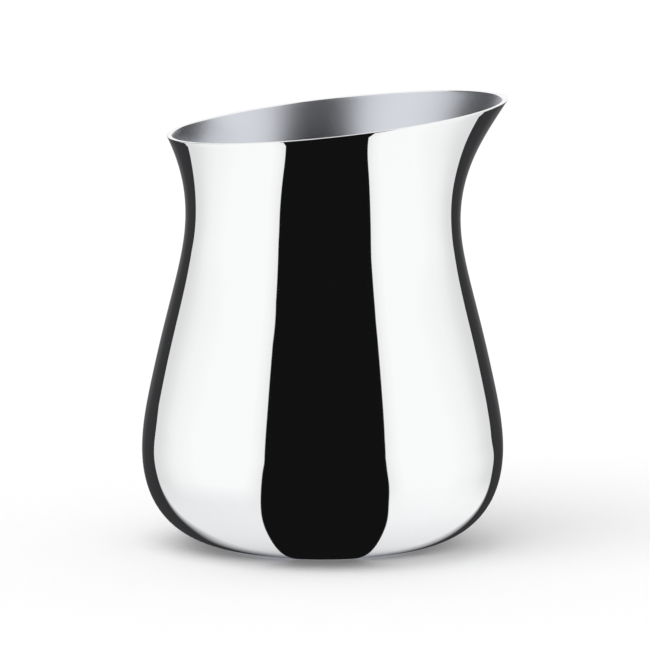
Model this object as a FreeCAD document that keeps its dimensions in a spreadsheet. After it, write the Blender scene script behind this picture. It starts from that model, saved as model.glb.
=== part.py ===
import FreeCAD, Part
import math
import os

import Sketcher

# Milk jug drawn from a single sheet of steel: a round belly on a small foot, a drawn-in neck and a
# flared mouth that is cut on a slope, so that one side stands up as the pouring lip.
# Lengths are in millimetres. The origin is the centre of the foot, Z is up and the lip is at +X.

# The outside passes through one circle for each of these sections, from the foot up.
# The crown stands above the finished rim and is cut away with the slope.
SECTIONS = (
    "foot", "heel", "turn", "cup", "flank", "belly", "shoulder",
    "waist", "collar", "neck", "throat", "flare", "lip", "crown",
)

SIZES = {
    # Thickness of the sheet.
    "wall": 1.0,
    # Radius of the lowest section, and how far each other section stands out beyond the one below it.
    "foot_radius": 20.0,
    "heel_spread": 6.7,
    "turn_spread": 5.6,
    "cup_spread": 4.4,
    "flank_spread": 2.8,
    "belly_spread": 0.45,
    "shoulder_spread": -1.95,
    "waist_spread": -3.0,
    "collar_spread": -2.75,
    "neck_spread": -1.7,
    "throat_spread": 0.45,
    "flare_spread": 2.4,
    "lip_spread": 4.1,
    "crown_spread": 4.7,
    # How far each section is above the one below it.
    "heel_rise": 1.6,
    "turn_rise": 2.8,
    "cup_rise": 4.6,
    "flank_rise": 7.0,
    "belly_rise": 9.0,
    "shoulder_rise": 12.0,
    "waist_rise": 13.0,
    "collar_rise": 11.0,
    "neck_rise": 10.0,
    "throat_rise": 9.0,
    "flare_rise": 8.0,
    "lip_rise": 8.0,
    "crown_rise": 8.0,
    # How far the centre of each upper section leans towards the lip. The lower ones stand upright.
    "neck_lean": 0.05,
    "throat_lean": 0.25,
    "flare_lean": 0.55,
    "lip_lean": 0.95,
    "crown_lean": 1.5,
    # How far the sloping rim is below the crown on the axis, its slope, and how far the two edges
    # of the sheet there are ground off.
    "rim_drop": 8.5,
    "rim_slope_degrees": 6.2,
    "rim_edge": 0.2,
    "rim_edge_limit_share": 0.4,
    # The flat panel pressed up into the base, which leaves a ring to stand on, and the ring's two bends.
    "ring_width": 4.0,
    "panel_rise": 1.0,
    "panel_slope_width": 2.0,
    "bend_rounding": 1.5,
    # How far the cutting profile of the rim reaches past the metal.
    "overrun": 5.0,
}

ORIGIN = FreeCAD.Vector(0, 0, 0)
UP = FreeCAD.Vector(0, 0, 1)
START = 1
END = 2
CENTRE = 3
HORIZONTAL_AXIS = -1
EDGE_SAMPLES = 8
TOLERANCE_SHARE = 1e-4


def fill_sheet(doc):
    """Puts each size in a cell whose alias is the size's name."""
    sheet = doc.addObject("Spreadsheet::Sheet", "Sizes")
    for row, (name, value) in enumerate(SIZES.items(), start=1):
        sheet.set(f"A{row}", name)
        sheet.set(f"B{row}", str(value))
        sheet.setAlias(f"B{row}", name)
    doc.recompute()
    return sheet


def cell(section_name, kind):
    """The expression for one size of a section, which is zero where the sheet holds none."""
    name = f"{section_name}_{kind}"
    return f"Sizes.{name}" if name in SIZES else "0"


def summed(kind, section_name):
    """The expression for the sum of one kind of size over the sections up to the named one."""
    names = SECTIONS[1:SECTIONS.index(section_name) + 1]
    return " + ".join(cell(name, kind) for name in names) or "0"


def radius_of(section_name):
    return f"(Sizes.foot_radius + {summed('spread', section_name)})"


def height_of(section_name):
    return f"({summed('rise', section_name)})"


def crown_sum(kind):
    """The sum of one kind of size over all the sections above the foot, as a number."""
    return sum(SIZES[f"{name}_{kind}"] for name in SECTIONS[1:])


def new_sketch(body, name, role):
    """An empty sketch on one of the body's own origin planes."""
    sketch = body.newObject("Sketcher::SketchObject", name)
    plane = next(item for item in body.Origin.OriginFeatures if item.Role == role)
    sketch.AttachmentSupport = [(plane, "")]
    sketch.MapMode = "FlatFace"
    return sketch


def constrain(sketch, *arguments):
    return sketch.addConstraint(Sketcher.Constraint(*arguments))


def bind(sketch, name, expression, *arguments):
    """Adds a named dimension to a sketch and ties it to an expression."""
    index = constrain(sketch, *arguments)
    sketch.renameConstraint(index, name)
    sketch.setExpression(f"Constraints.{name}", expression)


def add_polygon(sketch, corners):
    """Closed outline of straight lines through the corners, each end tied to the next line's start."""
    points = [FreeCAD.Vector(x, y, 0) for x, y in corners]
    lines = [
        sketch.addGeometry(Part.LineSegment(first, second), False)
        for first, second in zip(points, points[1:] + points[:1])
    ]
    for first, second in zip(lines, lines[1:] + lines[:1]):
        constrain(sketch, "Coincident", first, END, second, START)
    return lines


def add_section(body, name, radius, height, lean):
    """A horizontal circle that the jug's surface passes through."""
    sketch = new_sketch(body, name, "XY_Plane")
    sketch.setExpression(".AttachmentOffset.Base.z", height)
    circle = sketch.addGeometry(Part.Circle(ORIGIN, UP, SIZES["foot_radius"]), False)
    constrain(sketch, "PointOnObject", circle, CENTRE, HORIZONTAL_AXIS)
    bind(sketch, "lean", lean, "DistanceX", HORIZONTAL_AXIS, START, circle, CENTRE, 0)
    bind(sketch, "radius", radius, "Radius", circle, SIZES["foot_radius"])
    return sketch


def outer_section(body, name):
    lean = cell(name, "lean")
    return add_section(body, f"{name}_outside", radius_of(name), height_of(name), lean)


def inner_section(body, below, name, above):
    """The same circle one wall further in, square to the line between the sections next to it."""
    rise = f"({height_of(above)} - {height_of(below)})"
    spread = f"({radius_of(above)} - {radius_of(below)})"
    step = f"Sizes.wall / sqrt({rise}^2 + {spread}^2)"
    radius = f"{radius_of(name)} - {rise} * {step}"
    height = f"{height_of(name)} + {spread} * {step}"
    return add_section(body, f"{name}_inside", radius, height, cell(name, "lean"))


def floor_section(body):
    """The edge of the flat floor, where one wall above the foot meets one wall in from the heel."""
    slope = "atan(Sizes.heel_rise / Sizes.heel_spread)"
    radius = f"Sizes.foot_radius - Sizes.wall * tan({slope} / 2)"
    return add_section(body, "floor_edge", radius, "Sizes.wall", "0")


def add_loft(body, kind, name, sections):
    loft = body.newObject(kind, name)
    loft.Profile = sections[0]
    loft.Sections = sections[1:]
    body.Document.recompute()
    return loft


def panel_profile(body, name, base):
    """Half of the pressed panel: wide at the base height and narrower where it is flat, one rise above."""
    sketch = new_sketch(body, name, "XZ_Plane")
    sketch.setExpression(".AttachmentOffset.Base.y", base)
    wide = SIZES["foot_radius"] - SIZES["ring_width"]
    narrow = wide - SIZES["panel_slope_width"]
    rise = SIZES["panel_rise"]
    corners = [(0, 0), (wide, 0), (narrow, rise), (0, rise)]
    bottom, slope, top, axis = add_polygon(sketch, corners)
    constrain(sketch, "Coincident", bottom, START, HORIZONTAL_AXIS, START)
    constrain(sketch, "Horizontal", bottom)
    constrain(sketch, "Horizontal", top)
    constrain(sketch, "Vertical", axis)
    wide_text = "Sizes.foot_radius - Sizes.ring_width"
    narrow_text = f"{wide_text} - Sizes.panel_slope_width"
    bind(sketch, "wide", wide_text, "DistanceX", bottom, START, bottom, END, wide)
    bind(sketch, "narrow", narrow_text, "DistanceX", top, END, top, START, narrow)
    bind(sketch, "rise", "Sizes.panel_rise", "DistanceY", axis, END, axis, START, rise)
    return sketch


def add_turned(body, kind, name, profile):
    """Turns a profile all the way round the jug's axis."""
    turned = body.newObject(kind, name)
    turned.Profile = profile
    turned.ReferenceAxis = (profile, ["V_Axis"])
    turned.Angle = 360
    body.Document.recompute()
    return turned


def rim_profile(body):
    """A tall parallelogram whose lower side is the sloping rim, seen from the side."""
    sketch = new_sketch(body, "rim_cut_profile", "XZ_Plane")
    reach = SIZES["foot_radius"] + crown_sum("spread") + SIZES["crown_lean"] + SIZES["overrun"]
    climb = reach * math.tan(math.radians(SIZES["rim_slope_degrees"]))
    tall = crown_sum("rise")
    middle = tall - SIZES["rim_drop"]
    corners = [
        (-reach, middle - climb),
        (reach, middle + climb),
        (reach, middle + climb + tall),
        (-reach, middle - climb + tall),
    ]
    rim, right, top, left = add_polygon(sketch, corners)
    constrain(sketch, "Vertical", right)
    constrain(sketch, "Vertical", left)
    constrain(sketch, "Parallel", rim, top)

    reach_text = f"({radius_of('crown')} + Sizes.crown_lean + Sizes.overrun)"
    climb_text = f"{reach_text} * tan(Sizes.rim_slope_degrees)"
    middle_text = f"{height_of('crown')} - Sizes.rim_drop"
    low_text = f"{middle_text} - {climb_text}"
    high_text = f"{middle_text} + {climb_text}"
    axis_foot = (HORIZONTAL_AXIS, START)
    bind(sketch, "left_reach", reach_text, "DistanceX", rim, START, *axis_foot, reach)
    bind(sketch, "right_reach", reach_text, "DistanceX", *axis_foot, rim, END, reach)
    bind(sketch, "low", low_text, "DistanceY", *axis_foot, rim, START, middle - climb)
    bind(sketch, "high", high_text, "DistanceY", *axis_foot, rim, END, middle + climb)
    bind(sketch, "tall", height_of("crown"), "DistanceY", right, START, right, END, tall)
    return sketch


def cut_rim(body):
    """Cuts everything above the sloping rim away."""
    pocket = body.newObject("PartDesign::Pocket", "rim_cut")
    pocket.Profile = rim_profile(body)
    pocket.Type = "ThroughAll"
    pocket.Midplane = True
    body.Document.recompute()
    return pocket


def dress_edges(body, base, kind, name, edge_names, size_property, size):
    """Rounds or grinds off the named edges of a feature."""
    dressed = body.newObject(kind, name)
    dressed.Base = (base, edge_names)
    dressed.setExpression(size_property, size)
    body.Document.recompute()
    return dressed


def edges_where(shape, is_wanted):
    """Names of the edges on which every sampled point passes a test."""
    return [
        f"Edge{number}"
        for number, edge in enumerate(shape.Edges, start=1)
        if not edge.Degenerated and all(is_wanted(point) for point in edge.discretize(Number=EDGE_SAMPLES))
    ]


def foot_edges(shape, sheet):
    """The two edges of the ring that the jug stands on."""
    slack = sheet.wall * TOLERANCE_SHARE
    return edges_where(shape, lambda point: abs(point.z) < slack)


def rim_edges(shape, sheet):
    """The edges that lie in the plane of the sloping rim."""
    slack = sheet.wall * TOLERANCE_SHARE
    middle = crown_sum("rise") - sheet.rim_drop
    slope = math.tan(math.radians(sheet.rim_slope_degrees))
    return edges_where(shape, lambda point: abs(point.z - middle - slope * point.x) < slack)


def check_change(before, after, is_added):
    """Stops if a feature that should add metal, or take it away, did nothing."""
    change = after.Shape.Volume - before.Shape.Volume
    if change == 0 or (change > 0) != is_added:
        raise RuntimeError(f"{after.Name} changed the volume by {change:.3f}")


def build_jug(doc, sheet):
    """The whole jug as one body: outer form, hollow, pressed base, sloping rim and finished edges."""
    body = doc.addObject("PartDesign::Body", "jug_body")
    body.Label = "jug_body"
    outside = [outer_section(body, name) for name in SECTIONS]
    outer = add_loft(body, "PartDesign::AdditiveLoft", "outer_form", outside)

    inside = [floor_section(body)]
    for below, name, above in zip(SECTIONS, SECTIONS[1:], SECTIONS[2:] + SECTIONS[-1:]):
        inside.append(inner_section(body, below, name, above))
    hollow = add_loft(body, "PartDesign::SubtractiveLoft", "hollow", inside)
    check_change(outer, hollow, is_added=False)

    floor_profile = panel_profile(body, "floor_panel_profile", "Sizes.wall")
    floor_panel = add_turned(body, "PartDesign::Revolution", "floor_panel", floor_profile)
    check_change(hollow, floor_panel, is_added=True)
    base_profile = panel_profile(body, "base_panel_profile", "0")
    base_panel = add_turned(body, "PartDesign::Groove", "base_panel", base_profile)
    check_change(floor_panel, base_panel, is_added=False)

    rim_cut = cut_rim(body)
    check_change(base_panel, rim_cut, is_added=False)

    edges = foot_edges(rim_cut.Shape, sheet)
    bend = "Sizes.bend_rounding"
    foot = dress_edges(body, rim_cut, "PartDesign::Fillet", "foot_bends", edges, "Radius", bend)
    edges = rim_edges(foot.Shape, sheet)
    rim_size = "min(Sizes.rim_edge; Sizes.wall * Sizes.rim_edge_limit_share)"
    rim = dress_edges(body, foot, "PartDesign::Chamfer", "ground_rim", edges, "Size", rim_size)
    check_change(foot, rim, is_added=False)
    return body


def check_document(doc):
    """Stops if any object of the document failed."""
    for item in doc.Objects:
        if "Invalid" in item.State or "Error" in item.State:
            raise RuntimeError(f"{item.Name} failed: {item.State}")


def check_solid(body):
    shape = body.Shape
    if shape.isNull() or not shape.isValid() or len(shape.Solids) != 1:
        raise RuntimeError(f"{body.Label} is not one valid solid")


def main():
    doc = FreeCAD.newDocument("milk_jug")
    sheet = fill_sheet(doc)
    body = build_jug(doc, sheet)
    doc.recompute()
    check_document(doc)
    check_solid(body)
    os.makedirs("parts", exist_ok=True)
    body.Shape.exportStep(f"parts/{body.Label}.step")
    box = body.Shape.optimalBoundingBox(True, False)
    extent = f"{box.XLength:.2f} x {box.YLength:.2f} x {box.ZLength:.2f} mm"
    print(f"{body.Label}: {extent}, {body.Shape.Volume:.0f} mm3")


main()
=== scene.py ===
import math

import bpy
import numpy as np
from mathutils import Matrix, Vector


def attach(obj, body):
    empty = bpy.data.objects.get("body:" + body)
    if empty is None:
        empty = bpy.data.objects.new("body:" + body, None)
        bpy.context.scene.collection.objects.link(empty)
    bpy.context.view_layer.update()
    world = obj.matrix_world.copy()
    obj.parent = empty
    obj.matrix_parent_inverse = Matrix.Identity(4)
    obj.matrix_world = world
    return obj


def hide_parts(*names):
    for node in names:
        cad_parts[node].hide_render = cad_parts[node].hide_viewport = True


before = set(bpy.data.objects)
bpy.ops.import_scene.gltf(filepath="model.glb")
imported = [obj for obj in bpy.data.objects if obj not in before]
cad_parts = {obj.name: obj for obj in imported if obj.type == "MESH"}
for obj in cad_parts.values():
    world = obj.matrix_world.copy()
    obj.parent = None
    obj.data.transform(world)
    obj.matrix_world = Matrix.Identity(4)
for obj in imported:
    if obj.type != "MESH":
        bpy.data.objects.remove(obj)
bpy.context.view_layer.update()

MM = 0.001

# The jug's outside passes through one circle for each of these stations, from the foot up.
# Each has a radius, a height above the foot and how far its centre leans towards the lip, in mm.
STATIONS = {
    "foot": (20.0, 0.0, 0.0),
    "heel": (26.7, 1.6, 0.0),
    "turn": (32.3, 4.4, 0.0),
    "cup": (36.7, 9.0, 0.0),
    "flank": (39.5, 16.0, 0.0),
    "belly": (39.95, 25.0, 0.0),
    "shoulder": (38.0, 37.0, 0.0),
    "waist": (35.0, 50.0, 0.0),
    "collar": (32.25, 61.0, 0.0),
    "neck": (30.55, 71.0, 0.05),
    "throat": (31.0, 80.0, 0.25),
    "flare": (33.4, 88.0, 0.55),
    "lip": (37.5, 96.0, 0.95),
    "crown": (42.2, 104.0, 1.5),
}
WALL = 1.0
# The rim lies in a sloping plane, with this height at the axis. Its two corners are ground off.
RIM_HEIGHT = 95.5
RIM_SLOPE = math.tan(math.radians(6.2))
RIM_EDGE = 0.22
# The base is a flat ring out to the foot, with a flat panel pressed up inside it.
RING_INNER = 16.0
PANEL_RADIUS = 14.0
PANEL_RISE = 1.0
# How far a bend in the base reaches from its corner, and the most that it takes of the stretch after it.
BEND = 1.0
BEND_SHARE = 0.4

# How finely the sheet is meshed. The wall leaves out its lowest rows, where the bend at the foot is.
COLUMNS = 240
LOWER_ROWS = 84
UPPER_ROWS = 36
PANEL_ROWS = 10
SLOPE_ROWS = 4
RING_ROWS = 5
BEND_ROWS = 4
EDGE_ROWS = 4
LAND_ROWS = 2
ROWS_IN_FOOT_BEND = 2
# Steps of the search for the rim along each line up the wall.
BISECTIONS = 40

# The camera: its angle above the horizon, its distance and the point that it aims at in mm, its lens
# and sensor in mm, and the nearest and furthest that it sees in metres.
CAMERA_ELEVATION = math.radians(8.11)
CAMERA_DISTANCE = 2000.0
CAMERA_AIM = (0.53, 0.0, 49.35)
CAMERA_LENS = 500.07
SENSOR_WIDTH = 36.0
CAMERA_CLIP = (0.05, 20.0)


def natural_spline(points):
    """Smooth curve through the points, with the straight distance between them in their first two
    columns as its parameter.

    Returns the parameters of the points and functions for the curve and its slope.
    """
    steps = np.diff(points, axis=0)
    chords = np.hypot(steps[:, 0], steps[:, 1])
    knots = np.concatenate([[0.0], np.cumsum(chords)])
    count = len(knots)
    matrix = np.eye(count)
    right = np.zeros_like(points)
    for i in range(1, count - 1):
        before, after = chords[i - 1], chords[i]
        matrix[i, i - 1:i + 2] = before, 2 * (before + after), after
        right[i] = 6 * (steps[i] / after - steps[i - 1] / before)
    bends = np.linalg.solve(matrix, right)

    def locate(t):
        t = np.asarray(t, float)
        span = np.clip(np.searchsorted(knots, t, side="right") - 1, 0, count - 2)
        return span, chords[span][..., None], (t - knots[span])[..., None]

    def curve(t):
        i, chord, past = locate(t)
        left = chord - past
        cubic = (bends[i] * left ** 3 + bends[i + 1] * past ** 3) / (6 * chord)
        line = points[i] * left / chord + points[i + 1] * past / chord
        return cubic + line - chord * (bends[i] * left + bends[i + 1] * past) / 6

    def slope(t):
        i, chord, past = locate(t)
        left = chord - past
        cubic = (bends[i + 1] * past ** 2 - bends[i] * left ** 2) / (2 * chord)
        return cubic + (points[i + 1] - points[i]) / chord - chord * (bends[i + 1] - bends[i]) / 6

    return knots, curve, slope


def outer_stations():
    return np.array(list(STATIONS.values()))


def inner_stations():
    """The stations one wall further in, each square to the line between the stations next to it. The
    lowest one is the inner corner between the floor of the jug and its wall."""
    outside = outer_stations()
    above = np.vstack([outside[1:], outside[-1:]])
    below = np.vstack([outside[:1], outside[:-1]])
    run = above - below
    length = np.hypot(run[:, 0], run[:, 1])
    inside = outside.copy()
    inside[:, 0] -= WALL * run[:, 1] / length
    inside[:, 1] += WALL * run[:, 0] / length
    first_slope = math.atan2(outside[1, 1], outside[1, 0] - outside[0, 0])
    inside[0] = outside[0, 0] - WALL * math.tan(first_slope / 2), WALL, 0.0
    return inside


def place(profile, angles):
    """Points in space for rows of (radius, height, lean) at each angle round the jug."""
    radius, height, lean = profile[..., 0], profile[..., 1], profile[..., 2]
    return np.stack([lean + radius * np.cos(angles), radius * np.sin(angles), height], axis=-1)


def wall_rows(stations, angles):
    """The wall from its lowest station up to the sloping rim, as rows of points, with the rim's corner and
    the direction in which the wall reaches it."""
    knots, curve, slope = natural_spline(stations)
    names = list(STATIONS)
    shared_end = knots[names.index("collar")]
    low = np.full(len(angles), knots[names.index("throat") - 1])
    high = np.full(len(angles), knots[-1])
    for _ in range(BISECTIONS):
        middle = (low + high) / 2
        point = place(curve(middle), angles)
        is_above = point[:, 2] > RIM_HEIGHT + RIM_SLOPE * point[:, 0]
        high = np.where(is_above, middle, high)
        low = np.where(is_above, low, middle)
    corner = place(curve(low), angles)
    tangent = slope(low)
    arrival = place(tangent, angles)
    arrival /= np.linalg.norm(arrival, axis=1)[:, None]
    speed = np.hypot(tangent[:, 0], tangent[:, 1])

    shared = np.linspace(knots[0], shared_end, LOWER_ROWS, endpoint=False)
    rows = [place(curve(np.full(len(angles), t)), angles) for t in shared]
    end = low - RIM_EDGE / speed
    for share in np.linspace(0, 1, UPPER_ROWS + 1):
        rows.append(place(curve(shared_end + share * (end - shared_end)), angles))
    return rows, corner, arrival


def rounded(start, corner, end, steps):
    """Points of a smooth bend from start to end that is pulled towards the corner, without its two ends."""
    shares = np.linspace(0, 1, steps + 1)[1:-1]
    return [(1 - s) ** 2 * start + 2 * s * (1 - s) * corner + s ** 2 * end for s in shares]


def base_profile(edge_radius, level, next_point):
    """Profile of the pressed base from its centre to the wall, with every corner bent round."""
    corners = [
        np.array([0.0, level + PANEL_RISE]),
        np.array([PANEL_RADIUS, level + PANEL_RISE]),
        np.array([RING_INNER, level]),
        np.array([edge_radius, level]),
        next_point,
    ]
    row_counts = [PANEL_ROWS, SLOPE_ROWS, RING_ROWS]
    points = []
    start = corners[0]
    for k, rows in enumerate(row_counts):
        corner, after = corners[k + 1], corners[k + 2]
        back = (corner - start) / np.linalg.norm(corner - start)
        forth = (after - corner) / np.linalg.norm(after - corner)
        reach = min(BEND, np.linalg.norm(after - corner) * BEND_SHARE)
        bend_start = corner - back * reach
        bend_end = corner + forth * reach
        for share in np.linspace(0, 1, rows + 1):
            points.append(start + share * (bend_start - start))
        points.extend(rounded(bend_start, corner, bend_end, BEND_ROWS))
        start = bend_end
    return np.array(points)


def base_rows(stations, level, angles):
    """Rows of the pressed base from its centre out to where the wall begins."""
    _, curve, _ = natural_spline(stations)
    profile = base_profile(stations[0, 0], level, curve(BEND)[:2])
    flat = np.column_stack([profile, np.zeros(len(profile))])
    return [place(np.tile(row, (len(angles), 1)), angles) for row in flat]


def sheet_rows():
    """All rows of the jug from the centre of its underside, up the outside, over the rim and down the
    inside to the centre of its floor. Each row has the name of the surface that it starts."""
    angles = np.linspace(0, 2 * math.pi, COLUMNS, endpoint=False)
    outside, outer_corner, outer_arrival = wall_rows(outer_stations(), angles)
    inside, inner_corner, inner_arrival = wall_rows(inner_stations(), angles)
    under = base_rows(outer_stations(), 0.0, angles)
    floor = base_rows(inner_stations(), WALL, angles)

    across = inner_corner - outer_corner
    across /= np.linalg.norm(across, axis=1)[:, None]
    outer_land = outer_corner + RIM_EDGE * across
    inner_land = inner_corner - RIM_EDGE * across
    edge = rounded(outside[-1], outer_corner, outer_land, EDGE_ROWS)
    edge += [outer_land + s * (inner_land - outer_land) for s in np.linspace(0, 1, LAND_ROWS + 1)]
    edge += rounded(inner_land, inner_corner, inside[-1], EDGE_ROWS)

    named = [("underside", row) for row in under]
    named += [("outside", row) for row in outside[ROWS_IN_FOOT_BEND:]]
    named += [("edge", row) for row in edge]
    named += [("inside", row) for row in inside[:ROWS_IN_FOOT_BEND - 1:-1]]
    named += [("inside", row) for row in floor[::-1]]
    return named


def build_jug(materials):
    """One closed sheet of quads. The two centres are closed by fans."""
    named = sheet_rows()
    slots = list(materials)
    rows = [row for _, row in named]
    points = [rows[0][0]] + [p for row in rows[1:-1] for p in row] + [rows[-1][0]]
    row_starts = [1 + k * COLUMNS for k in range(len(rows) - 2)]
    faces = []
    surfaces = []

    def surface(index):
        return slots.index(named[index][0])

    for i in range(COLUMNS):
        after = (i + 1) % COLUMNS
        faces.append((0, row_starts[0] + after, row_starts[0] + i))
        surfaces.append(surface(0))
        faces.append((len(points) - 1, row_starts[-1] + i, row_starts[-1] + after))
        surfaces.append(surface(-1))
        for k, (lower, upper) in enumerate(zip(row_starts, row_starts[1:])):
            faces.append((lower + i, lower + after, upper + after, upper + i))
            surfaces.append(surface(k + 1))
    mesh = bpy.data.meshes.new("jug_sheet")
    mesh.from_pydata([Vector(p) * MM for p in points], [], faces)
    mesh.polygons.foreach_set("material_index", surfaces)
    mesh.polygons.foreach_set("use_smooth", [True] * len(faces))
    for name in slots:
        mesh.materials.append(materials[name])
    mesh.update()
    jug = bpy.data.objects.new("jug_sheet", mesh)
    bpy.context.scene.collection.objects.link(jug)
    return jug


# The four finishes of the sheet. Roughness is its lowest and highest value. Lines are how many turned
# lines a metre has along the profile and round the jug, and bump how strong and how deep they are.
# Stretch is how much the lines draw a highlight out across them.
FINISHES = {
    "underside": {"name": "steel_underside", "colour": (0.80, 0.80, 0.81), "roughness": (0.14, 0.22),
                  "lines": (9000.0, 40.0), "bump": (0.05, 2e-6), "stretch": 0.0},
    "outside": {"name": "steel_mirror", "colour": (0.945, 0.95, 0.955), "roughness": (0.01, 0.03),
                "lines": (5000.0, 30.0), "bump": (0.01, 1e-6), "stretch": 0.0},
    "edge": {"name": "steel_edge", "colour": (0.90, 0.90, 0.905), "roughness": (0.12, 0.2),
             "lines": (20000.0, 60.0), "bump": (0.03, 1e-6), "stretch": 0.0},
    "inside": {"name": "steel_satin", "colour": (0.705, 0.725, 0.78), "roughness": (0.268, 0.272),
               "lines": (12000.0, 50.0), "bump": (0.02, 1e-6), "stretch": 0.7},
}
# The noise that the lines are drawn from: its detail and the middle range of its values.
NOISE_DETAIL = 4.0
NOISE_RANGE = (0.3, 0.7)


def new_material(name):
    material = bpy.data.materials.new(name)
    material.use_nodes = True
    nodes = material.node_tree.nodes
    return material, nodes, material.node_tree.links, nodes["Principled BSDF"]


def math_node(nodes, links, operation, *inputs):
    """A Math node whose inputs are numbers or sockets. Returns its output."""
    node = nodes.new("ShaderNodeMath")
    node.operation = operation
    for socket, value in zip(node.inputs, inputs):
        if isinstance(value, (int, float)):
            socket.default_value = value
        else:
            links.new(value, socket)
    return node.outputs[0]


def turning_lines(nodes, links, across, along):
    """Noise drawn out into rings round the jug's axis, as turning and polishing leave them.

    across is how many lines a metre has along the profile, and along how many round the jug.
    """
    coordinates = nodes.new("ShaderNodeTexCoord")
    split = nodes.new("ShaderNodeSeparateXYZ")
    links.new(coordinates.outputs["Object"], split.inputs[0])
    x, y, z = split.outputs
    squared = math_node(nodes, links, "ADD", math_node(nodes, links, "MULTIPLY", x, x),
                        math_node(nodes, links, "MULTIPLY", y, y))
    radius = math_node(nodes, links, "SQRT", squared)
    climb = math_node(nodes, links, "ADD", radius, z)
    join = nodes.new("ShaderNodeCombineXYZ")
    links.new(math_node(nodes, links, "MULTIPLY", x, along), join.inputs[0])
    links.new(math_node(nodes, links, "MULTIPLY", y, along), join.inputs[1])
    links.new(math_node(nodes, links, "MULTIPLY", climb, across), join.inputs[2])
    noise = nodes.new("ShaderNodeTexNoise")
    noise.inputs["Scale"].default_value = 1.0
    noise.inputs["Detail"].default_value = NOISE_DETAIL
    links.new(join.outputs[0], noise.inputs["Vector"])
    return noise.outputs["Fac"]


def spread(nodes, links, value, low, high):
    """Maps the middle range of a noise onto low to high."""
    node = nodes.new("ShaderNodeMapRange")
    for socket, limit in zip(("From Min", "From Max", "To Min", "To Max"), (*NOISE_RANGE, low, high)):
        node.inputs[socket].default_value = limit
    links.new(value, node.inputs["Value"])
    return node.outputs[0]


def add_bump(nodes, links, shader, height, strength, distance):
    bump = nodes.new("ShaderNodeBump")
    bump.inputs["Strength"].default_value = strength
    bump.inputs["Distance"].default_value = distance
    links.new(height, bump.inputs["Height"])
    links.new(bump.outputs[0], shader.inputs["Normal"])


def steel(name, colour, roughness, lines, bump, stretch):
    """Steel with fine turned lines. FINISHES says what its values mean."""
    material, nodes, links, shader = new_material(name)
    shader.inputs["Base Color"].default_value = (*colour, 1.0)
    shader.inputs["Metallic"].default_value = 1.0
    pattern = turning_lines(nodes, links, *lines)
    links.new(spread(nodes, links, pattern, *roughness), shader.inputs["Roughness"])
    add_bump(nodes, links, shader, pattern, *bump)
    if stretch:
        shader.inputs["Anisotropic"].default_value = stretch
        round_jug = nodes.new("ShaderNodeTangent")
        round_jug.direction_type = "RADIAL"
        round_jug.axis = "Z"
        links.new(round_jug.outputs[0], shader.inputs["Tangent"])
    return material


def stage_mesh(name, points, faces, material):
    """A mesh of the studio round the jug, with its points in mm."""
    mesh = bpy.data.meshes.new(name)
    mesh.from_pydata([Vector(p) * MM for p in points], [], faces)
    mesh.materials.append(material)
    mesh.update()
    staged = bpy.data.objects.new(name, mesh)
    bpy.context.scene.collection.objects.link(staged)
    return staged


def shade_material(name, colour):
    """A dark card or painted shade that lets the white behind it through where its own shade value is below
    1.
    """
    material = bpy.data.materials.new(name)
    material.use_nodes = True
    nodes, links = material.node_tree.nodes, material.node_tree.links
    nodes.clear()
    shade = nodes.new("ShaderNodeAttribute")
    shade.attribute_name = "shade"
    clear = nodes.new("ShaderNodeBsdfTransparent")
    dark = nodes.new("ShaderNodeEmission")
    dark.inputs["Color"].default_value = (*colour, 1.0)
    mix = nodes.new("ShaderNodeMixShader")
    links.new(shade.outputs["Fac"], mix.inputs["Fac"])
    links.new(clear.outputs[0], mix.inputs[1])
    links.new(dark.outputs[0], mix.inputs[2])
    output = nodes.new("ShaderNodeOutputMaterial")
    links.new(mix.outputs[0], output.inputs["Surface"])
    return material


def seen_by_camera_or_mirror(nodes, links):
    path = nodes.new("ShaderNodeLightPath")
    return math_node(nodes, links, "MAXIMUM", path.outputs["Is Camera Ray"], path.outputs["Is Glossy Ray"])


# The fill comes from everywhere and the key light gives the floor its soft shadow. The floor's own
# white is seen by the camera and by reflections, and its mirrored white by reflections only.
FILL = 0.7
KEY_STRENGTH = 1.07
KEY_ANGLE = math.radians(50)
KEY_FROM = (-0.45, -0.55, 1.3)
FLOOR_ALBEDO = 0.86
FLOOR_WHITE = 0.155
MIRRORED_WHITE = 0.8
FLOOR_REACH = 40000.0
WHITE = (1.0, 1.0, 1.0, 1.0)


def floor_material():
    """Pale floor. The last part of its white is given to the camera and to reflections only, so its
    shadows stay. Reflections see more of the white, as a polished surface shows a lit table."""
    material, nodes, links, shader = new_material("pale_floor")
    shader.inputs["Base Color"].default_value = (FLOOR_ALBEDO, FLOOR_ALBEDO, FLOOR_ALBEDO, 1.0)
    shader.inputs["Roughness"].default_value = 1.0
    shader.inputs["Specular IOR Level"].default_value = 0.0
    shader.inputs["Emission Color"].default_value = WHITE
    seen = seen_by_camera_or_mirror(nodes, links)
    links.new(math_node(nodes, links, "MULTIPLY", seen, FLOOR_WHITE), shader.inputs["Emission Strength"])
    path = nodes.new("ShaderNodeLightPath")
    white = nodes.new("ShaderNodeEmission")
    mix = nodes.new("ShaderNodeMixShader")
    mirrored = math_node(nodes, links, "MULTIPLY", path.outputs["Is Glossy Ray"], MIRRORED_WHITE)
    links.new(mirrored, mix.inputs[0])
    links.new(shader.outputs[0], mix.inputs[1])
    links.new(white.outputs[0], mix.inputs[2])
    links.new(mix.outputs[0], nodes["Material Output"].inputs["Surface"])
    return material


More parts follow.
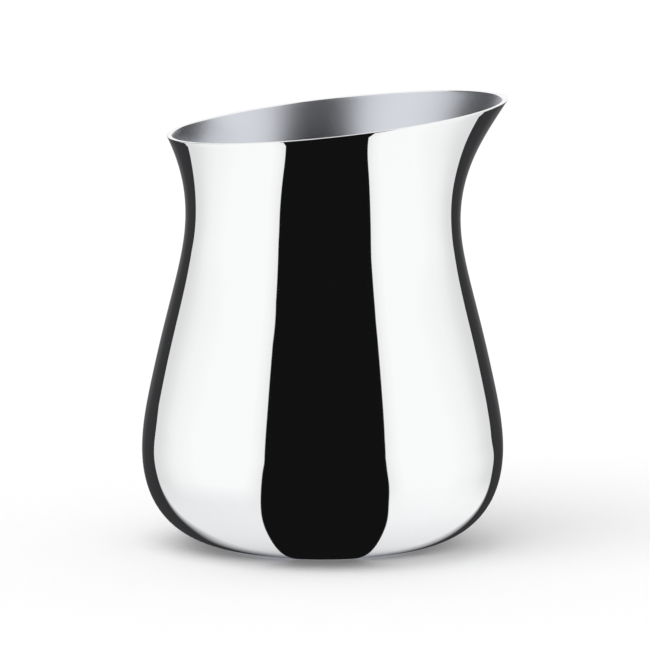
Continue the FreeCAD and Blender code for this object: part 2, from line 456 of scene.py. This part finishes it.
def make_world():
    """White where the camera and reflections see it, and a plain soft fill for everything else."""
    world = bpy.data.worlds.new("studio")
    bpy.context.scene.world = world
    world.use_nodes = True
    nodes, links = world.node_tree.nodes, world.node_tree.links
    background = nodes["Background"]
    background.inputs["Color"].default_value = WHITE
    seen = seen_by_camera_or_mirror(nodes, links)
    links.new(math_node(nodes, links, "MULTIPLY_ADD", seen, 1.0 - FILL, FILL), background.inputs["Strength"])


def make_key_light():
    lamp = bpy.data.lights.new("key_light", "SUN")
    lamp.energy = KEY_STRENGTH
    lamp.angle = KEY_ANGLE
    holder = bpy.data.objects.new("key_light", lamp)
    holder.rotation_euler = (-Vector(KEY_FROM)).to_track_quat("-Z", "Y").to_euler()
    holder.visible_glossy = False
    bpy.context.scene.collection.objects.link(holder)


# The cards that the polished steel mirrors. Each lies on the floor from the jug outwards, then stands
# up as a wall. Its edge on the floor runs smoothly through stations, each a distance from the jug's
# axis in mm and an angle from straight in front in degrees. Its edge on the wall runs through points
# with a distance, an angle and a height. -1 is the left side and 1 the right side. A card's lift keeps
# it clear of the floor and of the cards below it.

# How many steps an edge has on the floor, and how many degrees its curve counts as far as one unit of
# the logarithm of the distance.
EDGE_STEPS = 60
DEGREES_PER_UNIT = 20.0

BLACK_COLOUR = (0.006, 0.006, 0.006)
BLACK_LIFT = 0.1
BLACK_EDGE = {
    -1: ((11, 2), (24, 19), (31, 21.6), (45, 26.4), (58, 28.7), (73, 30.3), (100, 32.1), (164, 34.1),
         (415, 35.7), (1235, 36.6), (3200, 36.9)),
    1: ((11, 2), (24, 22.4), (31, 24.3), (45, 28.6), (58, 30.8), (73, 32.8), (99, 34.9), (157, 36.8),
        (368, 38.8), (1168, 39.9), (3200, 40.2)),
}
BLACK_WALL = {
    -1: ((3200, 36.9, 450), (3200, 37.1, 1100), (3200, 26, 2300), (3200, 26, 5000), (1200, 26, 6500)),
    1: ((3200, 40.3, 450), (3200, 41.4, 1100), (3200, 38.8, 2300), (3200, 38.8, 5000), (1200, 38.8, 6500)),
}
# Degrees outside its edge, with the shade there: painted shade, where the white beside the card darkens
# towards it. The last one is the card itself.
BLACK_FEATHER = ((10.0, 0.0), (5.0, 0.05), (0.2, 0.13), (-0.2, 1.0))

DARK_COLOUR = (0.032, 0.032, 0.034)
DARK_LIFT = 0.05
# Close to the foot these edges reach round towards the front to paint the jug's contact shadow on the floor.
DARK_EDGE = {
    -1: ((22, 14), (24, 26), (27, 42), (30, 54), (33, 61), (40, 75.5), (54, 92.8), (74, 105.3),
         (109, 115.8), (174, 124.2), (250, 127.8), (471, 131), (1592, 134.6), (3200, 136)),
    1: ((22, 22), (24, 35), (27, 52), (30, 63.5), (33, 72), (40, 86.5), (54, 102.4), (74, 112.8),
        (109, 121.5), (174, 128.7), (250, 130), (471, 133), (1592, 136), (3200, 136.9)),
}
DARK_WALL = {
    -1: ((3200, 136.1, 100), (3200, 135.7, 205), (3200, 134.8, 320), (3200, 132.5, 480), (3200, 129.2, 650),
         (3200, 125.2, 850), (3200, 121, 1080), (3200, 118, 1350), (3200, 117, 1700), (3200, 119, 3000)),
    1: ((3200, 136.6, 100), (3200, 135.8, 205), (3200, 134.6, 320), (3200, 131.8, 480), (3200, 127.8, 650),
        (3200, 122.5, 850), (3200, 116.5, 1080), (3200, 111, 1350), (3200, 106, 1900)),
}
# Degrees in front of its edge, with the shade there: painted shade, where the white beside the card fades
# towards it.
DARK_FEATHER = ((46.0, 0.0), (36.0, 0.035), (28.0, 0.06), (21.0, 0.11), (14.0, 0.19), (7.0, 0.25),
                (0.0, 0.27))
# The share of the way from its edge to straight behind the jug, with the shade there.
DARK_DEPTH = ((0.0, 1.0), (0.35, 0.99), (0.5, 0.955), (0.6, 0.935), (0.7, 0.9), (0.8, 0.83), (0.9, 0.5),
              (1.0, 0.2))
DEPTH_STEPS = 24
STRAIGHT_BEHIND = 180.0
# Behind the jug the wall turns white over these angles, and does so more and more over these heights.
BACK_ANGLES = {-1: (153.0, 168.0), 1: (146.0, 163.0)}
BACK_HEIGHTS = (50.0, 340.0)

# The side cards' edges on the floor are soft close to the jug, where their strips are painted shadow of the
# jug as well as card. Half their width is SOFT_DEGREES at SOFT_RADIUS, falls with the distance by
# SOFT_POWER and is never more than SOFT_MOST.
SOFT_RADIUS = 33.0
SOFT_DEGREES = 8.0
SOFT_POWER = 3.0
SOFT_MOST = 17.0
# The painted shade beside the front and side cards comes in between these distances from the jug's axis.
PAINTED_SHADE_RADII = (40.0, 90.0)

# The jug's contact shadow is painted on the floor round the foot: the floor is greyer close to the foot,
# with more painted shade at the left. Each ring has a distance from the axis and its shade at the left
# and at the right.
FOOT_SHADOW_COLOUR = (0.025, 0.035, 0.09)
FOOT_SHADOW_LIFT = 0.02
FOOT_SHADOW_RINGS = ((20, 0.75, 0.70), (24, 0.70, 0.60), (25, 0.60, 0.48), (26, 0.49, 0.37), (27, 0.39, 0.27),
              (28, 0.30, 0.19), (30, 0.21, 0.12), (34, 0.16, 0.08), (45, 0.15, 0.02), (56, 0.14, 0.0),
              (70, 0.07, 0.0), (90, 0.0, 0.0))
FOOT_SHADOW_COLUMNS = 72


def edge_line(floor_stations, wall_points, lift):
    """A card's edge as (distance, degrees, height): smooth along the floor, then up its wall."""
    points = np.array([(math.log(radius), degrees / DEGREES_PER_UNIT) for radius, degrees in floor_stations])
    knots, curve, _ = natural_spline(points)
    smooth = curve(np.linspace(knots[0], knots[-1], EDGE_STEPS))
    floor = [(math.exp(log_radius), turn * DEGREES_PER_UNIT, lift) for log_radius, turn in smooth]
    return floor + list(wall_points)


def level_point(radius, degrees, side, height):
    """The point at this distance, angle from straight in front and height, on one side of the jug."""
    turn = math.radians(degrees)
    return (side * radius * math.sin(turn), -radius * math.cos(turn), height)


def ramp(value, limits):
    """0 below the first limit, 1 above the second and a smooth rise between them."""
    share = min(max((value - limits[0]) / (limits[1] - limits[0]), 0.0), 1.0)
    return share * share * (3 - 2 * share)


def softness(radius):
    """Half the width, in degrees, of a side card's soft edge on the floor."""
    return min(SOFT_DEGREES * (SOFT_RADIUS / radius) ** SOFT_POWER, SOFT_MOST)


def make_card(name, rows, shades, colour):
    """A card that only reflections see. rows are lines of points, shades the shade at each of them."""
    width = len(rows[0])
    points = [p for row in rows for p in row]
    faces = []
    for k in range(len(rows) - 1):
        for i in range(width - 1):
            first = k * width + i
            faces.append((first, first + 1, first + width + 1, first + width))
    card = stage_mesh(name, points, faces, shade_material(name, colour))
    attribute = card.data.attributes.new("shade", "FLOAT", "POINT")
    attribute.data.foreach_set("value", [s for row in shades for s in row])
    card.visible_camera = False
    card.visible_diffuse = False
    card.visible_transmission = False
    card.visible_volume_scatter = False
    card.visible_shadow = False


def make_front_card():
    """The black card behind the camera and the strip of floor that leads up to it."""
    rows = []
    shades = []
    for side in (-1, 1):
        edge = edge_line(BLACK_EDGE[side], BLACK_WALL[side], BLACK_LIFT)
        # Rows outside the edge carry painted shade on the white beside the card; the last row is the card.
        for degrees, shade in BLACK_FEATHER[::-side]:
            is_card = degrees == BLACK_FEATHER[-1][0]
            rows.append([level_point(r, angle + degrees, side, z) for r, angle, z in edge])
            shades.append([shade if is_card else shade * ramp(r, PAINTED_SHADE_RADII) for r, _, _ in edge])
    make_card("front_card", rows, shades, BLACK_COLOUR)


def make_side_card(name, side):
    """A dark card behind one side of the jug, with its strip of floor, which close to the foot is painted
    shadow of the jug.
    """
    edge = edge_line(DARK_EDGE[side], DARK_WALL[side], DARK_LIFT)
    rows = []
    shades = []
    # The rows in front of the edge carry painted shade on the white beside the card.
    for degrees, shade in DARK_FEATHER:
        rows.append([level_point(r, angle - max(degrees, softness(r)), side, z) for r, angle, z in edge])
        shades.append([shade * ramp(r, PAINTED_SHADE_RADII) for r, _, _ in edge])
    for share in np.linspace(0, 1, DEPTH_STEPS + 1):
        shade = np.interp(share, *zip(*DARK_DEPTH))
        row = [(r, angle + max(share * (STRAIGHT_BEHIND - angle), softness(r)), z) for r, angle, z in edge]
        faded = [ramp(angle, BACK_ANGLES[side]) * ramp(z, BACK_HEIGHTS) for _, angle, z in row]
        rows.append([level_point(r, angle, side, z) for r, angle, z in row])
        shades.append([shade * (1 - fade) for fade in faded])
    make_card(name, rows, shades, DARK_COLOUR)


def make_foot_shadow_card():
    """Painted contact shadow: the grey on the floor round the foot, which only reflections see."""
    rows = []
    shades = []
    for turn in np.linspace(-STRAIGHT_BEHIND, STRAIGHT_BEHIND, FOOT_SHADOW_COLUMNS + 1):
        rightness = (1 + math.sin(math.radians(turn))) / 2
        rows.append([level_point(r, turn, 1, FOOT_SHADOW_LIFT) for r, _, _ in FOOT_SHADOW_RINGS])
        shades.append([left + rightness * (right - left) for _, left, right in FOOT_SHADOW_RINGS])
    make_card("foot_shadow_card", rows, shades, FOOT_SHADOW_COLOUR)


def make_stage():
    reach = FLOOR_REACH
    corners = [(-reach, -reach, 0), (reach, -reach, 0), (reach, reach, 0), (-reach, reach, 0)]
    stage_mesh("floor", corners, [(0, 1, 2, 3)], floor_material())
    make_front_card()
    make_side_card("left_card", -1)
    make_side_card("right_card", 1)
    # Painted contact shadow of the jug round its foot, for reflections.
    make_foot_shadow_card()
    make_world()
    make_key_light()


def make_camera():
    data = bpy.data.cameras.new("camera")
    data.lens = CAMERA_LENS
    data.sensor_width = SENSOR_WIDTH
    data.clip_start, data.clip_end = CAMERA_CLIP
    camera = bpy.data.objects.new("camera", data)
    back = Vector((0.0, -math.cos(CAMERA_ELEVATION), math.sin(CAMERA_ELEVATION)))
    camera.location = (Vector(CAMERA_AIM) + CAMERA_DISTANCE * back) * MM
    camera.rotation_euler = (-back).to_track_quat("-Z", "Y").to_euler()
    bpy.context.scene.collection.objects.link(camera)
    bpy.context.scene.camera = camera


jug = build_jug({surface: steel(**finish) for surface, finish in FINISHES.items()})
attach(jug, "root")
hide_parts("jug_body")
make_stage()
make_camera()
bpy.context.scene.view_settings.view_transform = "Standard"
